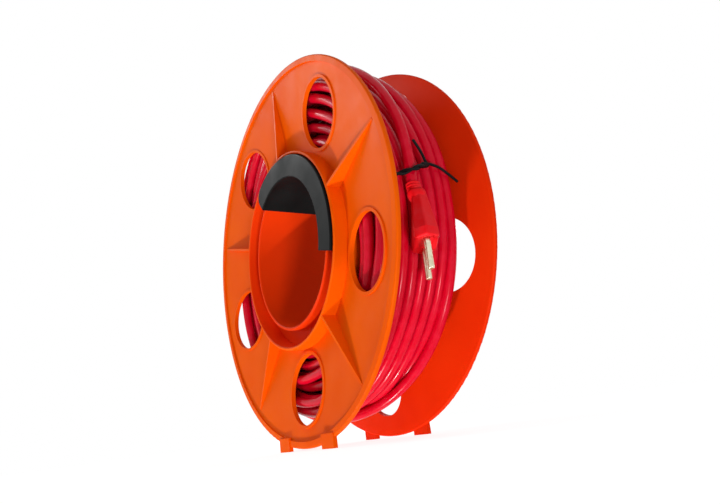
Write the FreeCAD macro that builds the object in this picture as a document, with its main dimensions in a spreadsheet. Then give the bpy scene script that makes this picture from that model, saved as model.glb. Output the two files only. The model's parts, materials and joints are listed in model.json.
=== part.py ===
import FreeCAD, Part
import math
import os
import Sketcher

# An extension cord reel that stands on four small feet. Two like moulded discs are screwed back
# to back. Each holds one half of the drum, one half of the hub tube and a groove between them. A
# black grip in two halves clips round the hub tube and runs in the grooves: the hand holds it
# while the reel turns. The cord lies on the drum with its plug tied down on the last turns, and
# its connector hangs on a short lead through a window of the rear disc.
# Frame: the drum's axis runs along Y, the front is at -Y, up is +Z, and the feet stand on Z = 0.
# On a disc, "out" is the distance from the reel's middle plane towards that disc's own face.
# Angles on the reel are seen from the front: 0 is right, 90 is up and 180 is left.

SIZES = [
    ("axis_up", 151.0, "height of the drum's axis"),
    ("tube_in", 60.35, "hub tube, inner radius"),
    ("tube_out", 62.85, "hub tube, outer radius"),
    ("tube_end", 38.2, "hub tube, end, out"),
    ("floor_in", 24.5, "groove floor, hidden face, out"),
    ("floor_out", 27.0, "groove floor, seen face, out"),
    ("wall_in", 75.6, "drum wall, inner radius"),
    ("drum_rad", 78.0, "drum wall, outer radius"),
    ("collar_end", 41.0, "collar's edge, out"),
    ("web_foot", 29.8, "disc's face where it meets the collar, out"),
    ("web_thick", 2.6, "disc's thickness"),
    ("dish", 7.435, "slope of the dished disc, degrees"),
    ("lip_in", 145.0, "edge lip, inner radius"),
    ("flange_rad", 150.0, "edge lip, outer radius"),
    ("lip_face", 40.0, "edge lip's face, out"),
    ("lip_thick", 3.2, "edge lip's thickness"),
    ("lip_round", 1.2, "rounding of the lip's edges"),
    ("collar_round", 0.9, "rounding of the collar's and the tube's edges"),
    ("spokes", 5.0, "number of ribs, and of windows"),
    ("rib_thick", 2.0, "rib's thickness"),
    ("rib_top", 40.6, "rib's edge at the collar, out"),
    ("rib_low", 38.4, "rib's edge at its tip, out"),
    ("rib_reach", 142.0, "rib's tip, radius"),
    ("rib_root", 77.0, "rib's root inside the collar, radius"),
    ("window_mid", 108.3, "window's middle, radius on the disc"),
    ("window_rad", 26.0, "window's radius"),
    ("bead_rad", 28.2, "bead round a window, outer radius"),
    ("bead_high", 1.2, "bead round a window, height"),
    ("window_cut", 6.0, "half the depth of the window's cut"),
    ("foot_near", 26.3, "foot, side nearer the middle"),
    ("foot_far", 43.1, "foot, side further out"),
    ("foot_top", 141.0, "foot's upper edge, below the axis"),
    ("foot_in", 37.6, "foot's hidden face, out"),
    ("foot_thick", 3.2, "foot's thickness"),
    ("boss_ring", 69.2, "screw bosses, radius of their ring"),
    ("boss_rad", 4.5, "screw boss, radius"),
    ("boss_turn", 18.0, "screw bosses, angle above and below the level line"),
    ("pilot_rad", 1.75, "pilot hole, radius"),
    ("pilot_deep", 16.0, "pilot hole, depth"),
    ("clear_rad", 2.3, "clearance hole, radius"),
    ("screw_rad", 2.0, "screw's shank, radius"),
    ("thread_rad", 1.65, "screw's thread core, radius"),
    ("shank_long", 27.0, "screw's shank under the head"),
    ("screw_long", 38.0, "screw's length under the head"),
    ("head_rad", 3.8, "screw head, radius"),
    ("head_high", 2.6, "screw head, height"),
    ("slot_long", 4.4, "screw's cross recess, length"),
    ("slot_wide", 1.0, "screw's cross recess, width"),
    ("slot_deep", 1.5, "screw's cross recess, depth"),
    ("grip_in", 57.6, "grip's liner, inner radius"),
    ("grip_out", 60.0, "grip's liner, outer radius"),
    ("band_in", 38.6, "grip's end band, hidden face, out"),
    ("band_out", 42.6, "grip's end band, seen face, out"),
    ("band_rad", 75.0, "grip's end band, outer radius"),
    ("band_round", 0.8, "rounding of the end band's edges"),
    ("end_round", 10.0, "rounding of the end band's left corner"),
    ("hook_in", 63.3, "grip's hook over the tube, inner radius"),
    ("hook_out", 66.0, "grip's hook over the tube, outer radius"),
    ("hook_end", 31.0, "grip's hook, end, out"),
    ("skirt_in", 72.6, "grip's outer skirt, inner radius"),
    ("skirt_end", 33.0, "grip's outer skirt, end, out"),
    ("grip_span", 144.0, "grip's arc, degrees"),
    ("grip_left", 126.0, "grip's left end, angle at rest"),
    ("hook_inset", 12.0, "arc from the left end to the hooks, degrees"),
    ("hook_span", 130.0, "hooks' arc, degrees"),
    ("tongue_in", 58.7, "snap tongue, inner radius"),
    ("tongue_out", 59.6, "snap tongue, outer radius"),
    ("tongue_wide", 10.0, "snap tongue, width"),
    ("tongue_long", 8.0, "snap tongue, length"),
    ("tongue_gap", 0.2, "room round a snap tongue"),
    ("tongue_turn", 22.0, "first snap tongue, arc from the left end, degrees"),
    ("tongue_span", 100.0, "arc from the first to the last snap tongue, degrees"),
    ("tongues", 3.0, "number of snap tongues"),
    ("cable_dia", 7.4, "cord's diameter"),
    ("pack_in", 78.3, "inner layers, inner radius"),
    ("pack_out", 118.4, "inner layers, outer radius"),
    ("pack_gap", 0.3, "room between the inner layers and a disc"),
    ("hump_in", 115.0, "hump under the first outer turn, inner side"),
    ("hump_out", 126.0, "hump under the first outer turn, outer side"),
    ("hump_long", 10.0, "hump, length"),
    ("turns", 7.0, "outer turns"),
    ("turn_rad", 122.3, "outer turns' centreline at the sides, radius"),
    ("turn_pitch", 8.0, "outer turns' pitch at the sides"),
    ("turn_front", -27.8, "outer turns' last centreline, Y at the left"),
    ("squeeze", 0.9, "share of the pitch left at the top and bottom"),
    ("top_bunch", 9.4, "shift of the turns towards the front at the top"),
    ("low_bunch", 5.8, "shift of the turns towards the front at the bottom"),
    ("top_bulge", 8.7, "rise of the turns at the top"),
    ("low_bulge", 6.7, "rise of the turns at the bottom"),
    ("ride_up", 4.6, "further rise of every other turn"),
    ("plug_wide", 34.0, "plug's face, width from point to point"),
    ("plug_flat", 24.0, "plug's face, width of its flat sides"),
    ("plug_high", 15.0, "plug's face, height"),
    ("plug_lip", 6.0, "plug's straight part behind its face"),
    ("plug_long", 33.0, "plug's body, length"),
    ("tail_wide", 13.0, "plug's tail, width from point to point"),
    ("tail_flat", 9.0, "plug's tail, width of its flat sides"),
    ("tail_high", 9.2, "plug's tail, height"),
    ("boot_start", 30.0, "plug's boot, start behind the face"),
    ("boot_root", 4.5, "plug's boot, radius at its start"),
    ("boot_rad", 4.4, "plug's boot, radius at its end"),
    ("boot_end", 41.0, "plug's boot, end behind the face"),
    ("boot_shift", 2.4, "plug's boot, sideways bend"),
    ("boot_lean", 8.0, "plug's boot, lean of its end, degrees"),
    ("plug_round", 1.6, "rounding of the plug's long edges"),
    ("plug_x", 136.5, "plug's face, X"),
    ("plug_y", -12.85, "plug's face, Y"),
    ("plug_z", 111.7, "plug's face, Z"),
    ("plug_yaw", -32.7, "plug's turn about Z, degrees"),
    ("plug_pitch", -5.6, "plug's turn about its own Y, degrees"),
    ("plug_roll", 178.6, "plug's turn about its own X, degrees"),
    ("pin_apart", 19.0, "pins, centre to centre"),
    ("pin_rad", 2.0, "pin's radius"),
    ("pin_long", 19.0, "pin's length past the face"),
    ("pin_tip", 0.6, "rounding of the pin's tip"),
    ("dimple_rad", 0.6, "dimple in the pin's tip, radius"),
    ("dimple_deep", 0.5, "dimple in the pin's tip, depth"),
    ("pin_inside", 8.0, "pin's length behind the face"),
    ("stem_rad", 1.0, "pin's crimp stem, radius"),
    ("stem_long", 4.5, "pin's crimp stem, length"),
    ("pin_gap", 0.05, "room round a pin"),
    ("dish_wide", 27.0, "shallow recess round the pins, width"),
    ("dish_high", 8.6, "shallow recess round the pins, height"),
    ("dish_deep", 1.2, "shallow recess round the pins, depth"),
    ("bridge_wide", 25.2, "plug's bridge, width"),
    ("bridge_high", 6.4, "plug's bridge, height"),
    ("bridge_front", 2.6, "plug's bridge, start behind the face"),
    ("bridge_back", 8.2, "plug's bridge, end behind the face"),
    ("bridge_gap", 0.2, "room round a bridge"),
    ("wire_wide", 22.8, "room for the plug's wires, width"),
    ("wire_high", 5.2, "room for the plug's wires, height"),
    ("wire_back", 14.0, "room for the plug's wires, end of its wide part"),
    ("neck_rad", 2.7, "bore in the plug's tail, radius"),
    ("neck_start", 27.0, "bore in the plug's tail, start"),
    ("neck_end", 32.0, "bore in the plug's tail, end"),
    ("crimp_in", 1.05, "crimp barrel, inner radius"),
    ("crimp_out", 1.7, "crimp barrel, outer radius"),
    ("crimp_long", 4.6, "crimp barrel, length"),
    ("crimp_past", 0.6, "crimp barrel, length past the pin's stem"),
    ("crimp_above", 0.4, "room between a contact and its crimp barrel"),
    ("wire_rad", 1.1, "insulated core, radius"),
    ("wire_apart", 1.43, "insulated cores, half the distance between them in a boot"),
    ("wire_gap", 0.2, "room between a crimp barrel and its core"),
    ("wire_bend", 1.5, "plug's cores, length up to their first bend"),
    ("sock_bend", 3.0, "connector's cores, length up to their first bend"),
    ("wire_short", 0.5, "length of a bore past the end of its cores"),
    ("wire_settle", 3.0, "length of the cores between their last bend and the bore"),
    ("sock_x", -96.5, "connector's axis, X"),
    ("sock_y", 49.0, "connector's axis, Y"),
    ("sock_z", 20.5, "connector's mating face, Z"),
    ("sock_wide", 36.0, "connector, width"),
    ("sock_thick", 17.0, "connector, thickness"),
    ("sock_straight", 28.0, "connector, straight part"),
    ("sock_shoulder", 39.0, "connector, end of its tapered part"),
    ("sock_long", 50.0, "connector and its boot, length"),
    ("sock_boot", 4.8, "connector's boot, radius"),
    ("sock_root", 37.0, "connector's boot, start"),
    ("sock_neck", 10.6, "connector's tapered part, width at its end"),
    ("sock_round", 4.0, "rounding of the connector's corners"),
    ("mouth_rad", 2.3, "pin hole in the mating face, radius"),
    ("face_thick", 2.4, "mating face, thickness"),
    ("nest_wide", 30.0, "connector's inner space, width"),
    ("nest_thick", 10.4, "connector's inner space, thickness"),
    ("nest_top", 24.0, "connector's inner space, top"),
    ("throat_rad", 2.9, "connector's boot bore, radius"),
    ("throat_start", 36.0, "connector's boot bore, start"),
    ("throat_end", 47.0, "connector's boot bore, end"),
    ("carrier_top", 15.0, "connector's bridge, top"),
    ("contact_out", 2.5, "contact sleeve, outer radius"),
    ("contact_in", 2.05, "contact sleeve, inner radius"),
    ("contact_slit", 0.8, "contact sleeve, width of its slit"),
    ("contact_low", 3.0, "contact sleeve, lower end"),
    ("contact_top", 15.6, "contact sleeve, upper end"),
    ("contact_cap", 1.0, "contact sleeve, thickness of its closed end"),
    ("slit_above", 3.0, "contact sleeve, length above its slit"),
    ("tie_rad", 0.8, "twist tie's wire, radius"),
    ("knot_rad", 2.2, "twist tie's twisted knot, radius"),
]

# The plug's lead leaves the last turn at the left, goes up over the others and comes down on the
# right. Each row is a point of its route: angle on the reel, radius and Y.
PLUG_LEAD = [
    (141.0, 137.0, -28.4),
    (121.0, 143.5, -27.5),
    (101.0, 146.5, -23.0),
    (81.0, 147.0, -18.0),
    (61.5, 146.0, -15.0),
    (43.0, 143.5, -13.2),
    (26.5, 140.5, -12.0),
]
LEAD_START = 34.0
LEAD_END = 27.0

# The connector's lead comes out between the layers, slopes through a window of the rear disc and
# turns down beside it. Both of its runs have this length.
SOCK_RUN = 38.0
SOCK_SLOPE = 38.0
SOCK_SIDEWAYS = -0.12

# The twist tie's wire goes from the front turns over the plug's lead to its knot, and its two
# tails stick out. Each row is X, Y and Z, with Z from the drum's axis.
TIE_BAND = [(128.4, -26.5, 9.0), (132.3, -20.0, 9.5), (139.6, -13.0, 10.8), (136.0, -4.5, 15.0)]
TIE_KNOT = (130.2, 3.4, 19.3)
TIE_LONG_TAIL = [(129.5, 17.0, 18.5), (127.8, 31.0, 11.2)]
TIE_SHORT_TAIL = [(136.0, -5.0, 25.5), (138.8, -12.0, 30.0)]

# Share of the shorter run that an arc takes, and how far the insulated cores draw together on
# their first run.
ARC_SHARE = 0.45
CORE_DRIFT = 0.15

doc = FreeCAD.newDocument("cord_reel")
sheet = doc.addObject("Spreadsheet::Sheet", "dims")
for row, (alias, value, meaning) in enumerate(SIZES, 1):
    sheet.set("A%d" % row, alias)
    sheet.set("B%d" % row, str(value))
    sheet.set("C%d" % row, meaning)
    sheet.setAlias("B%d" % row, alias)
doc.recompute()


def dim(name):
    """A driving dimension, read from the sheet."""
    return float(sheet.get(name))


def vec(x, y, z):
    return FreeCAD.Vector(x, y, z)


def on_reel(angle, radius, y):
    """The place at an angle and a radius about the drum's axis."""
    turned = math.radians(angle)
    return vec(radius * math.cos(turned), y, dim("axis_up") + radius * math.sin(turned))


def by_axis(row):
    """A row of X, Y and Z from the drum's axis as a place."""
    return vec(row[0], row[1], row[2] + dim("axis_up"))


# Sketches and features bound to the sheet

def new_body(name):
    body = doc.addObject("PartDesign::Body", name)
    body.Label = name
    return body


def add(body, kind, name, **settings):
    """Add a feature. A setting that starts with = is bound to the sheet."""
    made = body.newObject(kind, name)
    for key, value in settings.items():
        if isinstance(value, str) and value.startswith("="):
            made.setExpression(key, value[1:])
        else:
            setattr(made, key, value)
    return made


def origin_part(body, role):
    """One of the body's own origin planes or axes."""
    return [f for f in body.Origin.OriginFeatures if f.Role == role][0]


def sketch_on(body, plane, name, shift=None, turn_about=None, turn=None):
    """Start a sketch on an origin plane, shifted and turned by expressions."""
    sketch = body.newObject("Sketcher::SketchObject", name)
    sketch.AttachmentSupport = (origin_part(body, plane), [""])
    sketch.MapMode = "FlatFace"
    if turn:
        sketch.AttachmentOffset = FreeCAD.Placement(vec(0, 0, 0), FreeCAD.Rotation(turn_about, 1))
        sketch.setExpression("AttachmentOffset.Rotation.Angle", turn)
    for key, value in (shift or {}).items():
        sketch.setExpression("AttachmentOffset.Base." + key, value)
    return sketch


def pin_point(sketch, geometry, end, across, up):
    """Hold a point of the sketch at two expressions, where 0 puts it on the axis."""
    for kind, value, axis in (("DistanceX", across, -2), ("DistanceY", up, -1)):
        if value == "0":
            sketch.addConstraint(Sketcher.Constraint("PointOnObject", geometry, end, axis))
            continue
        index = sketch.addConstraint(Sketcher.Constraint(kind, -1, 1, geometry, end, 1.0))
        sketch.setExpression("Constraints[%d]" % index, value)


def outline(sketch, corners):
    """Draw a closed outline of straight lines through corners given as expressions."""
    count = len(corners)
    first = sketch.GeometryCount
    loose = []
    for i in range(count):
        turned = 2 * math.pi * i / count
        loose.append(vec(30 + 20 * math.cos(turned), 30 + 20 * math.sin(turned), 0))
    for i in range(count):
        sketch.addGeometry(Part.LineSegment(loose[i], loose[(i + 1) % count]))
    for i, (across, up) in enumerate(corners):
        following = first + (i + 1) % count
        sketch.addConstraint(Sketcher.Constraint("Coincident", first + i, 2, following, 1))
        pin_point(sketch, first + i, 1, across, up)


def ring(sketch, across, up, radius):
    """Draw a circle whose middle and radius are expressions."""
    made = sketch.addGeometry(Part.Circle(vec(30, 30, 0), vec(0, 0, 1), 5))
    pin_point(sketch, made, 3, across, up)
    index = sketch.addConstraint(Sketcher.Constraint("Radius", made, 5.0))
    sketch.setExpression("Constraints[%d]" % index, radius)


def box_outline(sketch, wide, high):
    """Draw a rectangle centred on the sketch's origin."""
    half_wide = "%s / 2" % wide
    half_high = "%s / 2" % high
    outline(sketch, [("-" + half_wide, "-" + half_high), (half_wide, "-" + half_high),
                     (half_wide, half_high), ("-" + half_wide, half_high)])


def hexagon(sketch, wide, flat, high):
    """Draw a flat hexagon with a point at each side, centred on the sketch's origin."""
    point = "%s / 2" % wide
    shoulder = "%s / 2" % flat
    top = "%s / 2" % high
    outline(sketch, [(point, "0"), (shoulder, top), ("-" + shoulder, top),
                     ("-" + point, "0"), ("-" + shoulder, "-" + top), (shoulder, "-" + top)])


def circles_at(shape, radius, y):
    """Names of the round edges about Y with this radius and place."""
    names = []
    for i, edge in enumerate(shape.Edges, 1):
        curve = edge.Curve
        if isinstance(curve, Part.Circle) and abs(curve.Radius - radius) < 0.01:
            if abs(curve.Center.y - y) < 0.01 and curve.Center.x ** 2 + curve.Center.z ** 2 < 0.01:
                names.append("Edge%d" % i)
    return names


def fillet(body, base, name, edges, radius):
    if not edges:
        raise ValueError("no edges for " + name)
    made = add(body, "PartDesign::Fillet", name, Base=(base, edges), Radius="=" + radius)
    doc.recompute()
    return made


# Drum discs

def drum_disc(name):
    """One moulding: dished disc, half drum, half hub tube, ribs, windows, feet and bosses."""
    body = new_body(name)
    face_at_lip = "(dims.web_foot + (dims.lip_in - dims.drum_rad) * tan(dims.dish))"
    section = sketch_on(body, "XY_Plane", name + "_section")
    outline(section, [
        ("dims.tube_in", "0"),
        ("dims.tube_out", "0"),
        ("dims.tube_out", "-dims.floor_in"),
        ("dims.wall_in", "-dims.floor_in"),
        ("dims.wall_in", "0"),
        ("dims.drum_rad", "0"),
        ("dims.drum_rad", "-(dims.web_foot - dims.web_thick)"),
        ("dims.lip_in", "-(%s - dims.web_thick)" % face_at_lip),
        ("dims.flange_rad", "-(dims.lip_face - dims.lip_thick)"),
        ("dims.flange_rad", "-dims.lip_face"),
        ("dims.lip_in", "-dims.lip_face"),
        ("dims.lip_in", "-" + face_at_lip),
        ("dims.drum_rad", "-dims.web_foot"),
        ("dims.drum_rad", "-dims.collar_end"),
        ("dims.wall_in", "-dims.collar_end"),
        ("dims.wall_in", "-dims.floor_out"),
        ("dims.tube_out", "-dims.floor_out"),
        ("dims.tube_out", "-dims.tube_end"),
        ("dims.tube_in", "-dims.tube_end"),
    ])
    turned = add(body, "PartDesign::Revolution", name + "_turned", Profile=section,
                 ReferenceAxis=(section, ["V_Axis"]), Angle=360)
    doc.recompute()
    lip = circles_at(turned.Shape, dim("flange_rad"), -dim("lip_face"))
    lip += circles_at(turned.Shape, dim("flange_rad"), dim("lip_thick") - dim("lip_face"))
    soft_lip = fillet(body, turned, name + "_lip_edges", lip, "dims.lip_round")
    edges = circles_at(soft_lip.Shape, dim("drum_rad"), -dim("collar_end"))
    edges += circles_at(soft_lip.Shape, dim("wall_in"), -dim("collar_end"))
    edges += circles_at(soft_lip.Shape, dim("tube_in"), -dim("tube_end"))
    edges += circles_at(soft_lip.Shape, dim("tube_out"), -dim("tube_end"))
    fillet(body, soft_lip, name + "_collar_edges", edges, "dims.collar_round")

    around = origin_part(body, "Y_Axis")
    face_at_window = "(dims.web_foot + (dims.window_mid - dims.drum_rad) * tan(dims.dish))"
    bead_plan = sketch_on(body, "XZ_Plane", name + "_bead_plan",
                          shift={"y": "-dims.window_mid",
                                 "z": face_at_window + " - dims.web_thick / 2"},
                          turn_about=vec(1, 0, 0), turn="-dims.dish")
    ring(bead_plan, "0", "0", "dims.bead_rad")
    bead = add(body, "PartDesign::Pad", name + "_bead", Profile=bead_plan,
               Length="=dims.web_thick / 2 + dims.bead_high")
    window_plan = sketch_on(body, "XZ_Plane", name + "_window_plan",
                            shift={"y": "-dims.window_mid", "z": face_at_window},
                            turn_about=vec(1, 0, 0), turn="-dims.dish")
    ring(window_plan, "0", "0", "dims.window_rad")
    window = add(body, "PartDesign::Pocket", name + "_window", Profile=window_plan,
                 SideType="Symmetric", Length="=2 * dims.window_cut")
    windows = add(body, "PartDesign::PolarPattern", name + "_windows",
                  Originals=[bead, window], Axis=(around, [""]), Angle=360,
                  Occurrences="=dims.spokes")
    body.Tip = windows
    doc.recompute()

    inside_web = "-(dims.web_foot + (%s - dims.drum_rad) * tan(dims.dish) - dims.web_thick / 2)"
    rib_plan = sketch_on(body, "YZ_Plane", name + "_rib_plan")
    outline(rib_plan, [(inside_web % "dims.rib_root", "dims.rib_root"),
                       ("-dims.rib_top", "dims.rib_root"),
                       ("-dims.rib_top", "dims.drum_rad"),
                       ("-dims.rib_low", "dims.rib_reach"),
                       (inside_web % "dims.rib_reach", "dims.rib_reach")])
    rib = add(body, "PartDesign::Pad", name + "_rib", Profile=rib_plan, SideType="Symmetric",
              Length="=dims.rib_thick")
    ribs = add(body, "PartDesign::PolarPattern", name + "_ribs", Originals=[rib],
               Axis=(around, [""]), Angle=360, Occurrences="=dims.spokes")
    body.Tip = ribs
    doc.recompute()

    feet_plan = sketch_on(body, "XZ_Plane", name + "_feet_plan", shift={"z": "dims.foot_in"})
    for side in ("", "-"):
        near = side + "dims.foot_near"
        far = side + "dims.foot_far"
        outline(feet_plan, [(near, "-dims.axis_up"), (far, "-dims.axis_up"),
                            (far, "-dims.foot_top"), (near, "-dims.foot_top")])
    add(body, "PartDesign::Pad", name + "_feet", Profile=feet_plan, Length="=dims.foot_thick")

    boss_plan = sketch_on(body, "XZ_Plane", name + "_boss_plan")
    clear_plan = sketch_on(body, "XZ_Plane", name + "_clear_plan")
    pilot_plan = sketch_on(body, "XZ_Plane", name + "_pilot_plan")
    for across, hole_plan, radius in (("", pilot_plan, "dims.pilot_rad"),
                                      ("-", clear_plan, "dims.clear_rad")):
        for up in ("", "-"):
            spot = (across + "dims.boss_ring * cos(dims.boss_turn)",
                    up + "dims.boss_ring * sin(dims.boss_turn)")
            ring(boss_plan, spot[0], spot[1], "dims.boss_rad")
            ring(hole_plan, spot[0], spot[1], radius)
    add(body, "PartDesign::Pad", name + "_bosses", Profile=boss_plan, Length="=dims.floor_out")
    add(body, "PartDesign::Pocket", name + "_clear_holes", Profile=clear_plan, Reversed=True,
        Type="ThroughAll")
    add(body, "PartDesign::Pocket", name + "_pilot_holes", Profile=pilot_plan, Reversed=True,
        Length="=dims.pilot_deep")
    doc.recompute()
    return body


# Grip

def grip_half(name, way, tongued):
    """Half of the grip: liner, end band with a rounded left corner, hook and outer skirt."""
    body = new_body(name)
    section = sketch_on(body, "XY_Plane", name + "_section")
    outline(section, [("dims.grip_in", "0"),
                      ("dims.grip_in", way + "dims.band_out"),
                      ("dims.band_rad", way + "dims.band_out"),
                      ("dims.band_rad", way + "dims.band_in"),
                      ("dims.grip_out", way + "dims.band_in"),
                      ("dims.grip_out", "0")])
    liner = add(body, "PartDesign::Revolution", name + "_liner", Profile=section,
                ReferenceAxis=(section, ["V_Axis"]), Angle="=dims.grip_span")
    doc.recompute()
    corner = []
    for i, edge in enumerate(liner.Shape.Edges, 1):
        middle = edge.CenterOfMass
        if abs(middle.x - dim("band_rad")) < 0.01 and abs(middle.z) < 0.01:
            corner.append("Edge%d" % i)
    rounded = fillet(body, liner, name + "_corner", corner, "dims.end_round")
    face = -dim("band_out") if way == "-" else dim("band_out")
    rim = []
    for i, edge in enumerate(rounded.Shape.Edges, 1):
        box = edge.BoundBox
        if abs(box.YMin - face) < 0.01 and abs(box.YMax - face) < 0.01:
            rim.append("Edge%d" % i)
    fillet(body, rounded, name + "_rim", rim, "dims.band_round")

    hooks = sketch_on(body, "XY_Plane", name + "_hook_section", turn_about=vec(0, 1, 0),
                      turn="dims.hook_inset")
    buried = way + "(dims.band_in + dims.band_out) / 2"
    for inner, outer, end in (("dims.hook_in", "dims.hook_out", "dims.hook_end"),
                              ("dims.skirt_in", "dims.band_rad", "dims.skirt_end")):
        outline(hooks, [(inner, way + end), (outer, way + end), (outer, buried), (inner, buried)])
    add(body, "PartDesign::Revolution", name + "_hooks", Profile=hooks,
        ReferenceAxis=(hooks, ["V_Axis"]), Angle="=dims.hook_span")
    doc.recompute()

    around = origin_part(body, "Y_Axis")
    room = "0" if tongued else "dims.tongue_gap"
    plan = sketch_on(body, "XZ_Plane", name + "_tongue_plan",
                     shift=None if not tongued else {"z": "-dims.tongue_long"},
                     turn_about=vec(0, 0, 1), turn="-dims.tongue_turn")
    half = "(dims.tongue_wide / 2 + %s)" % room
    inner = "(dims.tongue_in - %s)" % room
    outer = "dims.tongue_out" if tongued else "(dims.grip_out + dims.tongue_gap)"
    outline(plan, [(inner, "-" + half), (outer, "-" + half), (outer, half), (inner, half)])
    if tongued:
        tongue = add(body, "PartDesign::Pad", name + "_tongue", Profile=plan,
                     Length="=2 * dims.tongue_long")
    else:
        tongue = add(body, "PartDesign::Pocket", name + "_recess", Profile=plan,
                     Length="=dims.tongue_long + dims.tongue_gap")
    tongues = add(body, "PartDesign::PolarPattern", name + "_tongues", Originals=[tongue],
                  Axis=(around, [""]), Angle="=dims.tongue_span", Occurrences="=dims.tongues")
    body.Tip = tongues
    doc.recompute()
    return body


# Screws

def drum_screws():
    """Four cross-head screws, two driven from each side, as copies of one turned body."""
    form = new_body("screw_form")
    section = sketch_on(form, "XY_Plane", "screw_section")
    outline(section, [("0", "-dims.head_high"),
                      ("dims.screw_rad", "-dims.head_high"),
                      ("dims.head_rad", "-dims.head_high / 2"),
                      ("dims.head_rad", "0"),
                      ("dims.screw_rad", "0"),
                      ("dims.screw_rad", "dims.shank_long"),
                      ("dims.thread_rad", "dims.shank_long"),
                      ("dims.thread_rad", "dims.screw_long - 2 * dims.thread_rad"),
                      ("0", "dims.screw_long")])
    add(form, "PartDesign::Revolution", "screw_turned", Profile=section,
        ReferenceAxis=(section, ["V_Axis"]), Angle=360)
    for name, wide, high in (("slot_across", "dims.slot_long", "dims.slot_wide"),
                             ("slot_down", "dims.slot_wide", "dims.slot_long")):
        plan = sketch_on(form, "XZ_Plane", name + "_plan", shift={"z": "dims.head_high"})
        box_outline(plan, wide, high)
        add(form, "PartDesign::Pocket", name, Profile=plan, Length="=dims.slot_deep")
    doc.recompute()
    placed = []
    for side, facing in ((-1, 0), (1, 180)):
        for up in (-1, 1):
            screw = form.Shape.copy()
            spot = on_reel(180 - up * dim("boss_turn"), dim("boss_ring"), 0)
            spot = vec(-side * spot.x, side * dim("floor_out"), spot.z)
            screw.Placement = FreeCAD.Placement(spot, FreeCAD.Rotation(vec(0, 0, 1), facing))
            placed.append(screw)
    return shape_part("drum_screws", Part.makeCompound(placed))


def shape_part(name, shape, placement=None):
    """A sub-part whose shape is worked out from the sheet by its own function."""
    made = doc.addObject("Part::Feature", name)
    made.Label = name
    made.Shape = shape
    if placement:
        made.Placement = placement
    return made


# Cord

def disc_of(centre, along, radius):
    return Part.Wire([Part.Circle(centre, along, radius).toShape()])


def arc_between(start, corner, end):
    """The arc that leaves start towards corner and reaches end from it, and its radius."""
    middle = (start + end) * 0.5
    half = (end - start).Length / 2
    depth = (corner - middle).Length
    turn = 2 * math.atan2(depth, half)
    radius = half / math.sin(turn / 2)
    peak = middle + (corner - middle) * (radius * (1 - math.cos(turn / 2)) / depth)
    return Part.Arc(start, peak, end).toShape(), radius


def route(points):
    """Straight runs joined by tangent arcs, and the arcs' radii."""
    edges = []
    radii = []
    last = points[0]
    for before, corner, after in zip(points, points[1:], points[2:]):
        back = before - corner
        ahead = after - corner
        reach = min(back.Length, ahead.Length) * ARC_SHARE
        start = corner + back * (reach / back.Length)
        end = corner + ahead * (reach / ahead.Length)
        edges.append(Part.LineSegment(last, start).toShape())
        edge, radius = arc_between(start, corner, end)
        edges.append(edge)
        radii.append(radius)
        last = end
    edges.append(Part.LineSegment(last, points[-1]).toShape())
    return edges, radii


def biarc(start, leaving, end, arriving):
    """Two arcs that leave start and arrive at end in the given directions."""
    span = end - start
    both = leaving + arriving
    factor = 2 * (1 - leaving.dot(arriving))
    root = math.sqrt(span.dot(both) ** 2 + factor * span.dot(span))
    reach = (root - span.dot(both)) / factor
    first = start + leaving * reach
    second = end - arriving * reach
    joint = (first + second) * 0.5
    one, one_radius = arc_between(start, first, joint)
    two, two_radius = arc_between(joint, second, end)
    return [one, two], [one_radius, two_radius]


def tube(name, edges, radius, radii):
    """A round tube along the edges, compared with its section times its length."""
    path = Part.Wire(edges)
    first = edges[0]
    along = first.tangentAt(first.FirstParameter)
    solid = path.makePipeShell([disc_of(first.valueAt(first.FirstParameter), along, radius)],
                               True, False)
    wanted = math.pi * radius ** 2 * path.Length
    print("%s: length %.1f mm, radii %s, volume %.4f of section times length" % (
        name, path.Length, " ".join("%.1f" % r for r in radii), solid.Volume / wanted))
    return solid


def inner_layers():
    """The plain pack of layers under the outer turns, with a hump that lifts the first turn."""
    body = new_body("cable_inner_layers")
    section = sketch_on(body, "XY_Plane", "pack_section")
    side = "(dims.web_foot - dims.web_thick - dims.pack_gap + (%s - dims.drum_rad) * tan(dims.dish))"
    outline(section, [("dims.pack_in", "-" + side % "dims.pack_in"),
                      ("dims.pack_out", "-" + side % "dims.pack_out"),
                      ("dims.pack_out", side % "dims.pack_out"),
                      ("dims.pack_in", side % "dims.pack_in")])
    add(body, "PartDesign::Revolution", "pack_turned", Profile=section,
        ReferenceAxis=(section, ["V_Axis"]), Angle=360)
    first_y = "(dims.turn_front + dims.turns * dims.turn_pitch)"
    plan = sketch_on(body, "XZ_Plane", "hump_plan",
                     shift={"z": "-%s - dims.cable_dia / 2" % first_y})
    outline(plan, [("-dims.hump_in", "-dims.cable_dia"),
                   ("-dims.hump_out", "-dims.cable_dia"),
                   ("-dims.hump_out", "-dims.cable_dia - dims.hump_long"),
                   ("-dims.hump_in", "-dims.cable_dia - dims.hump_long")])
    add(body, "PartDesign::Pad", "hump", Profile=plan, Length="=dims.cable_dia")
    body.Placement = FreeCAD.Placement(vec(0, 0, dim("axis_up")), FreeCAD.Rotation())
    doc.recompute()
    return body


def turn_places():
    """The outer turns' centreline at each quarter turn, from the rear to the front."""
    places = []
    for quarter in range(int(4 * dim("turns")) + 1):
        y = dim("turn_front") + dim("turn_pitch") * (dim("turns") - quarter / 4)
        radius = dim("turn_rad")
        if quarter % 2:
            at_top = quarter % 4 == 1
            y = dim("squeeze") * y - dim("top_bunch" if at_top else "low_bunch")
            radius += dim("top_bulge" if at_top else "low_bulge")
            radius += dim("ride_up") * (quarter // 4 % 2)
        places.append(on_reel(180 - 90 * quarter, radius, y))
    return places


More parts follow.
